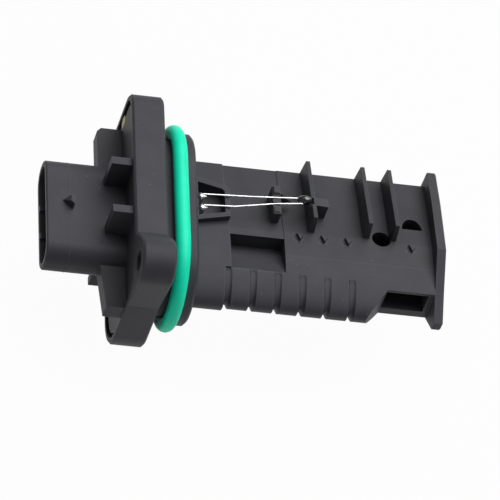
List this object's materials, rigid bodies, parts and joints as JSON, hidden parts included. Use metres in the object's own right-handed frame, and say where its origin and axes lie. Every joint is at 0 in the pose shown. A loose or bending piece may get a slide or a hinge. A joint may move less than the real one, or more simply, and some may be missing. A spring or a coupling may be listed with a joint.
{
  "type": "mass airflow sensor",
  "caption": "Plug-in mass airflow sensor: plug socket, flange with two screw holes, green seal ring, and a winged probe with an air channel and a thermistor on leads.",
  "frame": {"origin": "on the plug axis, in the plane of the flange that is screwed against the air duct", "axes": "+X along the plug axis into the duct, +Y towards the trailing edge of the probe, +Z out of the broad face that carries the thermistor"},
  "size_m": [0.1094, 0.0655, 0.054],
  "materials": {
    "housing": "charcoal glass-filled moulding",
    "cover": "charcoal glass-filled moulding",
    "seal": "smooth green",
    "contact": "tinned",
    "lead": "bright tinned wire",
    "bead": "dark glossy coating",
    "base_plate": "satin",
    "board": "white substrate",
    "chip": "black package",
    "capacitor": "brown",
    "resistor": "black film",
    "ribbon": "bright",
    "carrier": "white substrate",
    "silicon": "dark film chip",
    "gel": "clear soft gel"
  },
  "bodies": {
    "root": {"housing": "housing", "electronics_cover": "cover", "channel_cover": "cover", "seal_ring": "seal", "contact_pin_1": "contact", "contact_pin_2": "contact", "contact_pin_3": "contact", "contact_pin_4": "contact", "contact_pin_5": "contact", "ntc_terminal_upper": "contact", "ntc_terminal_lower": "contact", "ntc_lead_upper": "lead", "ntc_lead_lower": "lead", "ntc_bead": "bead", "base_plate": "base_plate", "circuit_board": "board", "signal_chip": "chip", "board_capacitors": "capacitor", "board_resistors": "resistor", "bond_ribbons": "ribbon", "sensor_carrier": "carrier", "sensor_chip": "silicon", "gel_fill": "gel"}
  },
  "joints": []
}
